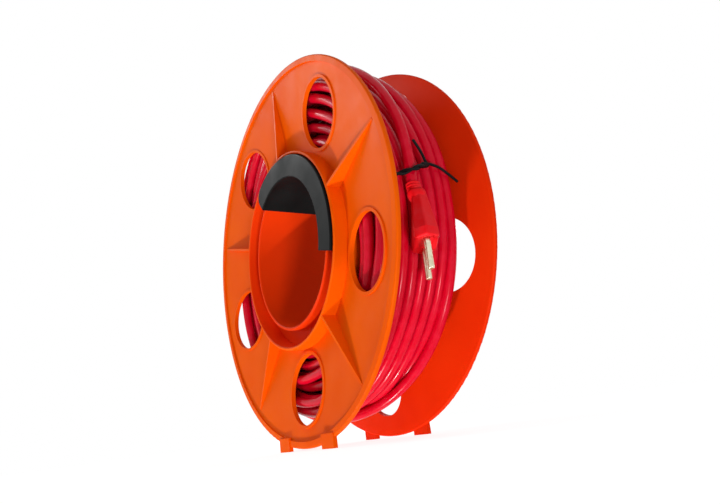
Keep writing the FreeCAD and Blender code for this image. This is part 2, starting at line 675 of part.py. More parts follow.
def outer_turns():
    """The outer turns as one tube of biarcs, a quarter turn each, with short straight ends."""
    places = turn_places()
    upward = vec(0, 0, 1)
    headings = [upward]
    for before, after in zip(places, places[2:]):
        headings.append((after - before).normalize())
    headings.append(upward)
    start = places[0] - upward * dim("cable_dia")
    end = places[-1] + upward * dim("cable_dia")
    edges = [Part.LineSegment(start, places[0]).toShape()]
    radii = []
    for i in range(len(places) - 1):
        arcs, arc_radii = biarc(places[i], headings[i], places[i + 1], headings[i + 1])
        edges += arcs
        radii += arc_radii
    edges.append(Part.LineSegment(places[-1], end).toShape())
    solid = tube("cable_outer_turns", edges, dim("cable_dia") / 2, radii)
    print("cable_outer_turns: least gap to itself %.2f mm" % (
        least_gap(edges) - dim("cable_dia")))
    shape_part("cable_outer_turns", solid)
    return end


def least_gap(edges):
    """The least distance between places of a path that are more than a half turn apart."""
    step = 4.0
    samples = []
    travelled = 0.0
    for edge in edges:
        count = max(2, int(edge.Length / step))
        for point in edge.discretize(count)[:-1]:
            samples.append((travelled, point))
            travelled += edge.Length / (count - 1)
    half_turn = math.pi * dim("turn_rad")
    least = half_turn
    for i, (here, point) in enumerate(samples):
        for there, other in samples[i + 1:]:
            if there - here > half_turn:
                least = min(least, point.distanceToPoint(other))
    return least


def plug_frame():
    """The plug's own frame: X along its width, Z out of its face."""
    turn = FreeCAD.Rotation(dim("plug_yaw"), dim("plug_pitch"), dim("plug_roll"))
    return FreeCAD.Placement(vec(dim("plug_x"), dim("plug_y"), dim("plug_z")), turn)


def plug_lead(start):
    """The cord from the last outer turn to the plug's boot."""
    lean = math.radians(dim("boot_lean"))
    frame = plug_frame()
    end = frame.multVec(vec(0, dim("boot_shift"), -dim("boot_end")))
    behind = frame.Rotation.multVec(vec(math.sin(lean), 0, -math.cos(lean)))
    points = [start, start + vec(0, 0, LEAD_START)]
    points += [on_reel(*row) for row in PLUG_LEAD]
    points += [end + behind * LEAD_END, end]
    edges, radii = route(points)
    return shape_part("plug_lead", tube("plug_lead", edges, dim("cable_dia") / 2, radii))


def connector_lead():
    """The cord from between the layers, through a rear window and down to the connector."""
    slope = math.radians(SOCK_SLOPE)
    end = vec(dim("sock_x"), dim("sock_y"), dim("sock_z") + dim("sock_long"))
    bend = end + vec(0, 0, SOCK_RUN)
    heading = vec(SOCK_SIDEWAYS, 0, -1).normalize() * math.cos(slope) + vec(0, math.sin(slope), 0)
    edges, radii = route([bend - heading * SOCK_RUN, bend, end])
    return shape_part("connector_lead", tube("connector_lead", edges, dim("cable_dia") / 2, radii))


# Plug

def lofted(body, kind, name, near, far):
    return add(body, "PartDesign::" + kind, name, Profile=near, Sections=[(far, [""])])


def circle_sketch(body, name, radius, level, **offset):
    shift = {"z": level}
    shift.update(offset.pop("shift", {}))
    sketch = sketch_on(body, "XY_Plane", name, shift=shift, **offset)
    ring(sketch, "0", "0", radius)
    return sketch


def plug_body():
    """The moulded plug: flat six-sided face, tapering body, boot and the room inside."""
    body = new_body("plug_body")
    size = ("dims.plug_wide", "dims.plug_flat", "dims.plug_high")
    face = sketch_on(body, "XY_Plane", "plug_face")
    hexagon(face, *size)
    add(body, "PartDesign::Pad", "plug_front", Profile=face, Length="=dims.plug_lip",
        Reversed=True)
    near = sketch_on(body, "XY_Plane", "plug_shoulder", shift={"z": "-dims.plug_lip"})
    hexagon(near, *size)
    far = sketch_on(body, "XY_Plane", "plug_tail", shift={"z": "-dims.plug_long"})
    hexagon(far, "dims.tail_wide", "dims.tail_flat", "dims.tail_high")
    taper = lofted(body, "AdditiveLoft", "plug_taper", near, far)
    doc.recompute()
    edges = []
    for i, edge in enumerate(taper.Shape.Edges, 1):
        box = edge.BoundBox
        if box.ZLength > 1 or box.ZMin > -0.01:
            edges.append("Edge%d" % i)
    fillet(body, taper, "plug_soft_edges", edges, "dims.plug_round")
    root = circle_sketch(body, "boot_root", "dims.boot_root", "-dims.boot_start")
    tip = circle_sketch(body, "boot_tip", "dims.boot_rad", "-dims.boot_end",
                        shift={"y": "dims.boot_shift"}, turn_about=vec(0, 1, 0),
                        turn="-dims.boot_lean")
    lofted(body, "AdditiveLoft", "plug_boot", root, tip)

    hollow = sketch_on(body, "XY_Plane", "dish_plan")
    box_outline(hollow, "dims.dish_wide", "dims.dish_high")
    add(body, "PartDesign::Pocket", "pin_dish", Profile=hollow, Length="=dims.dish_deep")
    pins = sketch_on(body, "XY_Plane", "pin_hole_plan")
    for side in ("", "-"):
        ring(pins, side + "dims.pin_apart / 2", "0", "(dims.pin_rad + dims.pin_gap)")
    add(body, "PartDesign::Pocket", "pin_holes", Profile=pins, Length="=dims.bridge_back")
    seat = sketch_on(body, "XY_Plane", "bridge_seat_plan",
                     shift={"z": "-dims.bridge_front + dims.bridge_gap"})
    box_outline(seat, "(dims.bridge_wide + 2 * dims.bridge_gap)",
                "(dims.bridge_high + 2 * dims.bridge_gap)")
    add(body, "PartDesign::Pocket", "bridge_seat", Profile=seat,
        Length="=dims.bridge_back - dims.bridge_front + 2 * dims.bridge_gap")
    wires = sketch_on(body, "XY_Plane", "wire_room_plan", shift={"z": "-dims.bridge_back"})
    box_outline(wires, "dims.wire_wide", "dims.wire_high")
    add(body, "PartDesign::Pocket", "wire_room", Profile=wires,
        Length="=dims.wire_back - dims.bridge_back")
    wide = sketch_on(body, "XY_Plane", "wire_end_plan", shift={"z": "-dims.wire_back"})
    box_outline(wide, "dims.wire_wide", "dims.wire_high")
    narrow = sketch_on(body, "XY_Plane", "wire_neck_plan", shift={"z": "-dims.neck_start"})
    box_outline(narrow, "2 * dims.neck_rad", "dims.wire_high")
    lofted(body, "SubtractiveLoft", "wire_funnel", wide, narrow)
    bore = circle_sketch(body, "neck_plan", "dims.neck_rad", "-dims.neck_start")
    add(body, "PartDesign::Pocket", "neck_bore", Profile=bore,
        Length="=dims.neck_end - dims.neck_start")
    body.Placement = plug_frame()
    doc.recompute()
    return body


def plug_pin(name, side):
    """A solid round pin with a dimple in its flat tip and a thin stem for its crimp."""
    body = new_body(name)
    section = sketch_on(body, "XZ_Plane", name + "_section")
    outline(section, [("0", "-dims.pin_inside - dims.stem_long"),
                      ("dims.stem_rad", "-dims.pin_inside - dims.stem_long"),
                      ("dims.stem_rad", "-dims.pin_inside"),
                      ("dims.pin_rad", "-dims.pin_inside"),
                      ("dims.pin_rad", "dims.pin_long"),
                      ("dims.dimple_rad", "dims.pin_long"),
                      ("dims.dimple_rad", "dims.pin_long - dims.dimple_deep"),
                      ("0", "dims.pin_long - dims.dimple_deep")])
    turned = add(body, "PartDesign::Revolution", name + "_turned", Profile=section,
                 ReferenceAxis=(section, ["V_Axis"]), Angle=360)
    doc.recompute()
    rim = []
    for i, edge in enumerate(turned.Shape.Edges, 1):
        if edge.BoundBox.ZMin > dim("pin_long") - 0.01 and edge.BoundBox.XLength > dim("pin_rad"):
            rim.append("Edge%d" % i)
    fillet(body, turned, name + "_tip", rim, "dims.pin_tip")
    shift = FreeCAD.Placement(vec(side * dim("pin_apart") / 2, 0, 0), FreeCAD.Rotation())
    body.Placement = plug_frame().multiply(shift)
    return body


def block(name, wide, high, long, level, holes, placement):
    """An insulating block with two round holes along Z."""
    body = new_body(name)
    plan = sketch_on(body, "XY_Plane", name + "_plan", shift={"z": level})
    box_outline(plan, wide, high)
    for side in ("", "-"):
        ring(plan, side + "dims.pin_apart / 2", "0", holes)
    add(body, "PartDesign::Pad", name + "_block", Profile=plan, Length="=" + long)
    body.Placement = placement
    doc.recompute()
    return body


def crimps(name, low, high, placement):
    """Two crimp barrels, one over each stem."""
    barrels = []
    for side in (-1, 1):
        foot = vec(side * dim("pin_apart") / 2, 0, low)
        barrel = Part.makeCylinder(dim("crimp_out"), high - low, foot)
        barrels.append(barrel.cut(Part.makeCylinder(dim("crimp_in"), high - low, foot)))
    return shape_part(name, Part.makeCompound(barrels), placement)


def cores(name, levels, placement):
    """Two insulated cores that draw together from the crimps to the boot."""
    wide = dim("pin_apart") / 2
    narrow = dim("wire_apart")
    made = []
    for side in (-1, 1):
        points = [vec(side * across, 0, level)
                  for across, level in zip((wide, wide - CORE_DRIFT, narrow, narrow), levels)]
        edges, radii = route(points)
        made.append(tube(name, edges, dim("wire_rad"), radii))
    return shape_part(name, Part.makeCompound(made), placement)


def plug_insides():
    frame = plug_frame()
    block("plug_bridge", "dims.bridge_wide", "dims.bridge_high",
          "dims.bridge_back - dims.bridge_front", "-dims.bridge_back",
          "(dims.pin_rad + dims.pin_gap)", frame)
    stem_end = -dim("pin_inside") - dim("stem_long")
    low = stem_end - dim("crimp_past")
    crimps("plug_crimps", low, low + dim("crimp_long"), frame)
    start = low - dim("wire_gap")
    cores("plug_cores", [start, start - dim("wire_bend"),
                         -dim("neck_start") + dim("wire_settle"),
                         -dim("neck_end") + dim("wire_short")], frame)


# Connector

def sock_frame():
    return FreeCAD.Placement(vec(dim("sock_x"), dim("sock_y"), dim("sock_z")),
                             FreeCAD.Rotation())


def connector_body():
    """The moulded two-pole connector that faces down: tapering body, boot and room inside."""
    body = new_body("connector_body")
    plan = sketch_on(body, "XY_Plane", "connector_plan")
    box_outline(plan, "dims.sock_wide", "dims.sock_thick")
    add(body, "PartDesign::Pad", "connector_front", Profile=plan, Length="=dims.sock_straight")
    near = sketch_on(body, "XY_Plane", "connector_shoulder", shift={"z": "dims.sock_straight"})
    box_outline(near, "dims.sock_wide", "dims.sock_thick")
    far = sketch_on(body, "XY_Plane", "connector_neck", shift={"z": "dims.sock_shoulder"})
    box_outline(far, "dims.sock_neck", "dims.sock_neck")
    taper = lofted(body, "AdditiveLoft", "connector_taper", near, far)
    doc.recompute()
    edges = []
    for i, edge in enumerate(taper.Shape.Edges, 1):
        if edge.BoundBox.ZLength > 1:
            edges.append("Edge%d" % i)
    fillet(body, taper, "connector_soft_edges", edges, "dims.sock_round")
    boot = circle_sketch(body, "connector_boot_plan", "dims.sock_boot", "dims.sock_root")
    add(body, "PartDesign::Pad", "connector_boot", Profile=boot,
        Length="=dims.sock_long - dims.sock_root")

    mouths = sketch_on(body, "XY_Plane", "mouth_plan")
    for side in ("", "-"):
        ring(mouths, side + "dims.pin_apart / 2", "0", "dims.mouth_rad")
    add(body, "PartDesign::Pocket", "mouths", Profile=mouths, Reversed=True,
        Length="=dims.face_thick")
    nest = sketch_on(body, "XY_Plane", "nest_plan", shift={"z": "dims.face_thick"})
    box_outline(nest, "dims.nest_wide", "dims.nest_thick")
    add(body, "PartDesign::Pocket", "nest", Profile=nest, Reversed=True,
        Length="=dims.nest_top - dims.face_thick")
    wide = sketch_on(body, "XY_Plane", "nest_end_plan", shift={"z": "dims.nest_top"})
    box_outline(wide, "dims.nest_wide", "2 * dims.throat_rad")
    narrow = sketch_on(body, "XY_Plane", "throat_plan", shift={"z": "dims.throat_start"})
    box_outline(narrow, "2 * dims.throat_rad", "2 * dims.throat_rad")
    lofted(body, "SubtractiveLoft", "nest_funnel", wide, narrow)
    bore = circle_sketch(body, "throat_bore_plan", "dims.throat_rad", "dims.throat_start")
    add(body, "PartDesign::Pocket", "throat_bore", Profile=bore, Reversed=True,
        Length="=dims.throat_end - dims.throat_start")
    body.Placement = sock_frame()
    doc.recompute()
    return body


def connector_contact(name, side):
    """A slit sleeve of sheet metal that grips a pin, closed above to a crimp stem."""
    low = dim("contact_low")
    top = dim("contact_top")
    sleeve = Part.makeCylinder(dim("contact_out"), top - low, vec(0, 0, low))
    inside = Part.makeCylinder(dim("contact_in"), top - low - dim("contact_cap"), vec(0, 0, low))
    sleeve = sleeve.cut(inside)
    slit = Part.makeBox(dim("contact_out"), dim("contact_slit"), top - low - dim("slit_above"))
    slit.translate(vec(0, -dim("contact_slit") / 2, low))
    stem = Part.makeCylinder(dim("stem_rad"), dim("stem_long"), vec(0, 0, top))
    shift = FreeCAD.Placement(vec(side * dim("pin_apart") / 2, 0, 0), FreeCAD.Rotation())
    return shape_part(name, sleeve.cut(slit).fuse(stem), sock_frame().multiply(shift))


def connector_insides():
    frame = sock_frame()
    block("connector_bridge", "(dims.nest_wide - 2 * dims.bridge_gap)",
          "(dims.nest_thick - 2 * dims.bridge_gap)", "dims.carrier_top - dims.contact_low",
          "dims.contact_low", "(dims.contact_out + dims.bridge_gap / 2)", frame)
    connector_contact("connector_contact_left", -1)
    connector_contact("connector_contact_right", 1)
    low = dim("contact_top") + dim("crimp_above")
    crimps("connector_crimps", low, low + dim("crimp_long"), frame)
    start = low + dim("crimp_long") + dim("wire_gap")
    cores("connector_cores", [start, start + dim("sock_bend"),
                              dim("throat_start") - dim("wire_settle"),
                              dim("throat_end") - dim("wire_short")], frame)


# Twist tie

def twist_tie():
    """A wire band over the plug's lead, its twisted knot and two loose tails."""
    knot = by_axis(TIE_KNOT)
    pieces = [Part.makeSphere(dim("knot_rad"), knot)]
    for rows in (TIE_BAND[::-1], TIE_LONG_TAIL, TIE_SHORT_TAIL):
        edges, radii = route([knot] + [by_axis(row) for row in rows])
        pieces.append(tube("twist_tie", edges, dim("tie_rad"), radii))
    return shape_part("twist_tie", pieces[0].fuse(pieces[1:]))


front = drum_disc("front_flange")
front.Placement = FreeCAD.Placement(vec(0, 0, dim("axis_up")), FreeCAD.Rotation())
rear = drum_disc("rear_flange")
rear.Placement = FreeCAD.Placement(vec(0, 0, dim("axis_up")),
                                   FreeCAD.Rotation(vec(0, 0, 1), 180))
for half in (grip_half("handle_front", "-", True), grip_half("handle_rear", "", False)):
    half.Placement = FreeCAD.Placement(vec(0, 0, dim("axis_up")),
                                       FreeCAD.Rotation(vec(0, 1, 0), -dim("grip_left")))
drum_screws()
inner_layers()
plug_lead(outer_turns())
plug_body()
plug_pin("plug_pin_outer", 1)
plug_pin("plug_pin_inner", -1)
plug_insides()
connector_lead()
connector_body()
connector_insides()
twist_tie()

NODES = [
    "front_flange", "rear_flange", "handle_front", "handle_rear", "drum_screws",
    "cable_inner_layers", "cable_outer_turns", "plug_lead", "plug_body", "plug_pin_outer",
    "plug_pin_inner", "plug_bridge", "plug_crimps", "plug_cores", "connector_lead",
    "connector_body", "connector_bridge", "connector_contact_left", "connector_contact_right",
    "connector_crimps", "connector_cores", "twist_tie",
]

doc.recompute()
for item in doc.Objects:
    if "Invalid" in item.State or "Error" in item.State:
        raise RuntimeError("%s failed: %s" % (item.Name, item.State))
os.makedirs("parts", exist_ok=True)
for name in NODES:
    part = doc.getObjectsByLabel(name)[0]
    if part.Shape.isNull() or not part.Shape.isValid():
        raise RuntimeError(name + " has no valid shape")
    part.Shape.exportStep("parts/%s.step" % name)
    box = part.Shape.BoundBox
    print("%s: %.2f cm3, X %.1f..%.1f, Y %.1f..%.1f, Z %.1f..%.1f" % (
        name, part.Shape.Volume / 1000, box.XMin, box.XMax, box.YMin, box.YMax,
        box.ZMin, box.ZMax))
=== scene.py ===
import json
import math

import bpy
from mathutils import Euler, Matrix, Vector


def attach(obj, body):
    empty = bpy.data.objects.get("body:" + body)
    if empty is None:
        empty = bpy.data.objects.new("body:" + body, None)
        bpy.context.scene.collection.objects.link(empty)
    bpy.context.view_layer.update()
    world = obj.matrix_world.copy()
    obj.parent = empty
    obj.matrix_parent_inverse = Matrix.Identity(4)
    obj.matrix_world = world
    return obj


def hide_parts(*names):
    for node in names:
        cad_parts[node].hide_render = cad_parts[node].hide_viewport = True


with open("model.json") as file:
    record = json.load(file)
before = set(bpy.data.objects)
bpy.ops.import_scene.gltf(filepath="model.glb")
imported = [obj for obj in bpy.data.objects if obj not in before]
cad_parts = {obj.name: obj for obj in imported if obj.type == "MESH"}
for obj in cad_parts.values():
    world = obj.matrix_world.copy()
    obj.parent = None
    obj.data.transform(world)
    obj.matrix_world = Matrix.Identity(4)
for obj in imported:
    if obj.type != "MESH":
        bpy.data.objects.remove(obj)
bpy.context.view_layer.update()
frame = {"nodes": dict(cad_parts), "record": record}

# An orange extension cord reel with a red cord, on a pale floor. Lengths are in metres in the
# part's own frame: the drum's axis runs along Y, the front is at -Y and the feet stand on Z = 0.
# Angles on the reel are seen from the front: 0 is right, 90 is up and 180 is left.

MM = 0.001
AXIS_UP = 151 * MM
COLLAR_EDGE = 77 * MM       # radius of the collar's edge
BARREL_RADIUS = 78 * MM
CORD = 7.4 * MM


# Colour and shader helpers

def linear(hex_colour):
    """A colour written as sRGB hex, as the linear values that the shaders use."""
    channels = []
    for start in (0, 2, 4):
        value = int(hex_colour[start:start + 2], 16) / 255
        if value <= 0.04045:
            channels.append(value / 12.92)
        else:
            channels.append(((value + 0.055) / 1.055) ** 2.4)
    return (*channels, 1.0)


def node(tree, kind, sockets=None, links=None, **settings):
    """Add a shader node, with its settings, its sockets' values and the links into it."""
    made = tree.nodes.new("ShaderNode" + kind)
    for key, value in settings.items():
        setattr(made, key, value)
    for key, value in (sockets or {}).items():
        made.inputs[key].default_value = value
    for key, source in (links or {}).items():
        tree.links.new(source, made.inputs[key])
    return made


def start_material(name):
    """A material with nothing but its output, and the object's own coordinates in metres."""
    material = bpy.data.materials.new(name)
    material.use_nodes = True
    tree = material.node_tree
    tree.nodes.clear()
    place = node(tree, "TexCoord").outputs["Object"]
    return material, tree, place


def ramp(tree, source, stops):
    """A colour ramp through stops of position and linear colour."""
    made = node(tree, "ValToRGB", links={"Fac": source})
    bar = made.color_ramp
    while len(bar.elements) < len(stops):
        bar.elements.new(0.5)
    for element, (position, colour) in zip(bar.elements, stops):
        element.position = position
        element.color = colour
    return made.outputs["Color"]


def finish_material(tree, shader):
    node(tree, "OutputMaterial", links={"Surface": shader.outputs["BSDF"]})


# Materials

def moulded_polypropylene(name, base, shade, hub_shade_colour, gloss):
    """Injection-moulded polypropylene: a satin skin over a colour that glows a little through."""
    material, tree, place = start_material(name)
    # Clouds 60 mm wide: the melt's uneven colour.
    clouds = node(tree, "TexNoise", {"Scale": 1 / (60 * MM), "Detail": 2.0},
                  {"Vector": place}).outputs["Fac"]
    colour = ramp(tree, clouds, [(0.35, linear(base)), (0.7, linear(shade))])
    # Painted shade: the hub, inside the collar, is painted a redder orange than the disc's face, for
    # the deep red of its shaded inside.
    from_axis = node(tree, "VectorMath", {1: (0, 0, -AXIS_UP)}, {0: place},
                     operation="ADD").outputs[0]
    from_axis = node(tree, "VectorMath", {1: (1, 0, 1)}, {0: from_axis},
                     operation="MULTIPLY").outputs[0]
    radius = node(tree, "VectorMath", links={0: from_axis}, operation="LENGTH").outputs["Value"]
    painted_shade_in_hub = node(tree, "MapRange", {"From Min": COLLAR_EDGE, "From Max": COLLAR_EDGE - 1.5 * MM},
                  {"Value": radius}).outputs["Result"]
    colour = node(tree, "MixRGB", {"Color2": linear(hub_shade_colour)},
                  {"Fac": painted_shade_in_hub, "Color1": colour}).outputs["Color"]
    # Spark-eroded grain, 0.6 mm in the real skin and drawn at 1.2 mm so that it shows.
    grain = node(tree, "TexNoise", {"Scale": 1 / (1.2 * MM), "Detail": 3.0},
                 {"Vector": place}).outputs["Fac"]
    # Handling marks 14 mm long: where hands have rubbed, the skin is smoother.
    rubbed = node(tree, "TexNoise", {"Scale": 1 / (14 * MM), "Detail": 5.0, "Roughness": 0.6},
                  {"Vector": place}).outputs["Fac"]
    rough = node(tree, "MapRange", {"From Min": 0.3, "From Max": 0.7, "To Min": 0.36,
                                    "To Max": 0.52}, {"Value": rubbed}).outputs["Result"]
    bump = node(tree, "Bump", {"Strength": 0.12, "Distance": 0.05 * MM},
                {"Height": grain}).outputs["Normal"]
    shader = node(tree, "BsdfPrincipled",
                  {"IOR": 1.49, "Specular IOR Level": gloss, "Subsurface Weight": 0.1,
                   "Subsurface Radius": (1.0, 0.35, 0.12), "Subsurface Scale": 1.2 * MM},
                  {"Base Color": colour, "Roughness": rough, "Normal": bump})
    finish_material(tree, shader)
    return material


def grained_nylon(name, base, worn):
    """Black nylon, moulded or a wire's coating: a matte grain with a grey sheen on its crests."""
    material, tree, place = start_material(name)
    grain = node(tree, "TexNoise", {"Scale": 1 / (0.9 * MM), "Detail": 4.0},
                 {"Vector": place}).outputs["Fac"]
    rubbed = node(tree, "TexNoise", {"Scale": 1 / (22 * MM), "Detail": 4.0},
                  {"Vector": place}).outputs["Fac"]
    colour = ramp(tree, rubbed, [(0.35, linear(base)), (0.75, linear(worn))])
    rough = node(tree, "MapRange", {"From Min": 0.3, "From Max": 0.7, "To Min": 0.42,
                                    "To Max": 0.6}, {"Value": rubbed}).outputs["Result"]
    bump = node(tree, "Bump", {"Strength": 0.35, "Distance": 0.06 * MM},
                {"Height": grain}).outputs["Normal"]
    shader = node(tree, "BsdfPrincipled", {"IOR": 1.53, "Specular IOR Level": 0.07},
                  {"Base Color": colour, "Roughness": rough, "Normal": bump})
    finish_material(tree, shader)
    return material


def soft_pvc(name, base, dusty, rough_from, rough_to):
    """Extruded or moulded soft PVC: a satin, slightly waxy skin that scuffs to a duller tone."""
    material, tree, place = start_material(name)
    scuffs = node(tree, "TexNoise", {"Scale": 1 / (9 * MM), "Detail": 6.0, "Roughness": 0.65},
                  {"Vector": place}).outputs["Fac"]
    colour = ramp(tree, scuffs, [(0.45, linear(base)), (0.8, linear(dusty))])
    skin = node(tree, "TexNoise", {"Scale": 1 / (1.6 * MM), "Detail": 3.0},
                {"Vector": place}).outputs["Fac"]
    rough = node(tree, "MapRange", {"From Min": 0.35, "From Max": 0.7, "To Min": rough_from,
                                    "To Max": rough_to}, {"Value": scuffs}).outputs["Result"]
    bump = node(tree, "Bump", {"Strength": 0.10, "Distance": 0.08 * MM},
                {"Height": skin}).outputs["Normal"]
    shader = node(tree, "BsdfPrincipled",
                  {"IOR": 1.52, "Specular IOR Level": 0.12, "Subsurface Weight": 0.08,
                   "Subsurface Radius": (1.0, 0.15, 0.15), "Subsurface Scale": 1.0 * MM},
                  {"Base Color": colour, "Roughness": rough, "Normal": bump})
    finish_material(tree, shader)
    return material


def plated_metal(name, base, dull, rough_from, rough_to):
    """A thin bright plating with fine drawing marks along Z and a few duller patches."""
    material, tree, place = start_material(name)
    # Drawing marks 0.25 mm apart, stretched twenty times along Z.
    stretched = node(tree, "Mapping", {"Scale": (1.0, 1.0, 0.05)}, {"Vector": place}).outputs[0]
    marks = node(tree, "TexNoise", {"Scale": 1 / (0.25 * MM), "Detail": 2.0},
                 {"Vector": stretched}).outputs["Fac"]
    patches = node(tree, "TexNoise", {"Scale": 1 / (3 * MM), "Detail": 3.0},
                   {"Vector": place}).outputs["Fac"]
    colour = ramp(tree, patches, [(0.4, linear(base)), (0.75, linear(dull))])
    rough = node(tree, "MapRange", {"From Min": 0.3, "From Max": 0.7, "To Min": rough_from,
                                    "To Max": rough_to}, {"Value": patches}).outputs["Result"]
    bump = node(tree, "Bump", {"Strength": 0.08, "Distance": 0.02 * MM},
                {"Height": marks}).outputs["Normal"]
    shader = node(tree, "BsdfPrincipled", {"Metallic": 1.0},
                  {"Base Color": colour, "Roughness": rough, "Normal": bump})
    finish_material(tree, shader)
    return material


# The fourth colour is painted shade: a redder orange for the hub inside the collar.
ORANGE = moulded_polypropylene(
    "orange_moulded_polypropylene", "EE5E02", "E65402", "EA3A06", 0.035)
# A redder, shaded copy of the orange: painted shade for the rear disc.
SHADED_ORANGE = moulded_polypropylene(
    "painted_shade_orange_moulded_polypropylene", "EA3406", "E02C04", "EA3A06", 0.03)
BLACK = grained_nylon("black_grained_nylon", "0B0D0D", "131616")
SHEATH = soft_pvc("red_extruded_pvc", "D20426", "DC1A38", 0.15, 0.27)
MOULDING = soft_pvc("red_moulded_pvc", "EC121C", "E83038", 0.42, 0.58)
NICKEL = plated_metal("nickel_plated_brass", "E8E2C8", "CFC6A4", 0.22, 0.38)
ZINC = plated_metal("zinc_plated_steel", "C9CCC8", "A8ABA6", 0.3, 0.5)
CORES = soft_pvc("blue_core_insulation", "2F56A8", "4468B0", 0.4, 0.5)
TIE = grained_nylon("black_coated_wire", "101112", "1C1E1F")

FINISHES = {
    "orange_plastic": ORANGE, "black_plastic": BLACK, "red_sheath": MOULDING,
    "nickel_brass": NICKEL, "zinc_steel": ZINC, "core_insulation": CORES, "tie_wire": TIE,
}
for part in frame["record"]["subparts"]:
    mesh = frame["nodes"][part["node"]].data
    mesh.materials.clear()
    mesh.materials.append(FINISHES[part["material_slot"]])
# The rear disc takes a redder copy of the orange: painted shade, for the deeper red of its shaded
# face.
frame["nodes"]["rear_flange"].data.materials[0] = SHADED_ORANGE


# Every moulded edge has a small radius, which catches the light.
EDGE_RADII = {
    "front_flange": 0.5, "rear_flange": 0.5, "handle_front": 0.6, "handle_rear": 0.6,
    "plug_body": 0.7, "connector_body": 0.7,
}
for name, radius in EDGE_RADII.items():
    rounding = frame["nodes"][name].modifiers.new("moulded_edges", "BEVEL")
    rounding.width = radius * MM
    rounding.segments = 2
    rounding.limit_method = "ANGLE"
    rounding.angle_limit = math.radians(40)


# The wound cord

STEPS = 24                  # points in a turn
FIRST_LAYER = 81.9 * MM     # radius of a layer's centreline
LAST_LAYER = 122.3 * MM
LAYER_STEPS = (108, 124, 136, 144, 152)
CLIMB_STEPS = 8             # in which the cord climbs a layer
OUTER_STEPS = 156
OUTER_PITCH = 8.0 * MM
OUTER_FRONT = -27.8 * MM
RIDE_UP = 5.0 * MM          # by which every second outer turn stands out further at the top
SWELL = 1 / math.cos(math.pi / STEPS)   # the spline cuts inside its points by this much

# The discs' inner faces, and the room that the cord keeps from them.
INNER_FACE = 27.2 * MM      # from the middle plane to a disc, at the barrel
DISH = math.radians(7.435)
PLAY = 0.4 * MM

# The connector's lead spirals in to the barrel along the rear disc, inside this radius.
LEAD_RADIUS = 92 * MM
LEAD_FADE = 6 * MM
LEAD_ROOM = 7.6 * MM
LEAD_STEPS = 15
LEAD_BACK = 24.5 * MM
LEAD_DRIFT = 0.07 * MM      # towards the middle, in a step
FIRST_ANGLE = math.radians(165)

# How far the inner layers wander, outwards and sideways.
WANDER_OUT = 1.5 * MM
WANDER_ASIDE = 1.3 * MM

# How the outer layers stand off the barrel, from this radius on.
BULGE_START = 92 * MM
BULGE_FADE = 30 * MM
TOP_RISE = 8.7 * MM
BOTTOM_SAG = 3.0 * MM
HUMP_RISE = 8.5 * MM
HUMP_LEAN = math.radians(35)    # from the top towards the right
HUMP_FRONT = -4 * MM
HUMP_FADE = 16 * MM

# How a turn moves forward at the top and the bottom: a share of its own Y, and a shift.
TOP_CROWDING = (0.2625, 10.47 * MM)
BOTTOM_CROWDING = (0.069, 5.7 * MM)

# The cord between the connector's boot and the drum: through a window of the rear disc.
CONNECTOR_LEAD = [(-96.5, 49.0, 70.5), (-96.5, 49.0, 108.5), (-92.93, 25.6, 138.2)]

# The last half turn crosses the outer turns at the bottom, and the plug's lead goes on from it
# over the top. Each row is an angle in degrees, a radius and a Y in millimetres.
CROSSING = [
    (0, 122.3, 24.2), (-15, 124.6, 23.2), (-30, 127.6, 20.8), (-45, 130.6, 17.0),
    (-60, 132.0, 11.5), (-75, 132.6, 4.8), (-90, 132.9, -2.5), (-105, 133.3, -9.5),
    (-120, 133.3, -15.0), (-135, 133.0, -19.3), (-150, 132.0, -22.0), (-165, 130.3, -23.6),
    (-180, 129.2, -24.6), (-197, 130.6, -26.6),
]
PLUG_LEAD = [
    (141.0, 137.0, -28.4), (121.0, 143.5, -27.5), (101.0, 146.5, -23.0), (81.0, 147.0, -18.0),
    (61.5, 146.0, -15.0), (43.0, 143.5, -13.2), (26.5, 140.5, -12.0),
]

# The plug's own frame has X along its width and Z out of its face.
PLUG_PLACE = Vector((136.5, -12.85, 111.7)) * MM
PLUG_TURN = Euler((math.radians(178.6), math.radians(-5.6), math.radians(-32.7))).to_matrix()
BOOT_START = 30.0           # where the boot's bend begins, in millimetres behind the face
BOOT_LONG = 11.0
BOOT_SHIFT = 2.4            # sideways over the bend
BOOT_LEAN = math.radians(8)
BOOT_END = Vector((0, BOOT_SHIFT, -BOOT_START - BOOT_LONG)) * MM
STRAIGHT = 27 * MM          # of cord behind the boot


def on_reel(angle, radius, y):
    """The place at an angle and a radius about the drum's axis."""
    return Vector((radius * math.cos(angle), y, AXIS_UP + radius * math.sin(angle)))


def rows_on_reel(rows):
    return [on_reel(math.radians(angle), radius * MM, y * MM) for angle, radius, y in rows]


def ease(share):
    share = min(1.0, max(0.0, share))
    return share * share * (3 - 2 * share)


def room(radius, side):
    """How far from the middle plane a cord's centreline may lie between the dished discs."""
    inner_face = INNER_FACE + (radius - BARREL_RADIUS) * math.tan(DISH)
    lead = LEAD_ROOM * (1 - ease((radius - LEAD_RADIUS) / LEAD_FADE))
    return inner_face - CORD / 2 - PLAY - (lead if side > 0 else 0)


def slack(turned, radius, y):
    """Where a loosely wound strand lies: the inner layers wander, as on a reel wound by hand."""
    depth = (radius - FIRST_LAYER) / (LAST_LAYER - FIRST_LAYER)
    loose = math.sin(math.pi * min(1.0, max(0.0, depth))) ** 0.6
    radial = (math.sin(5 * turned + 120 * radius)
              + 0.6 * math.sin(8 * turned - 90 * radius + 40 * y + 1.3))
    lateral = math.sin(4 * turned + 310 * radius)
    return radius + WANDER_OUT * loose * radial, y + WANDER_ASIDE * loose * lateral


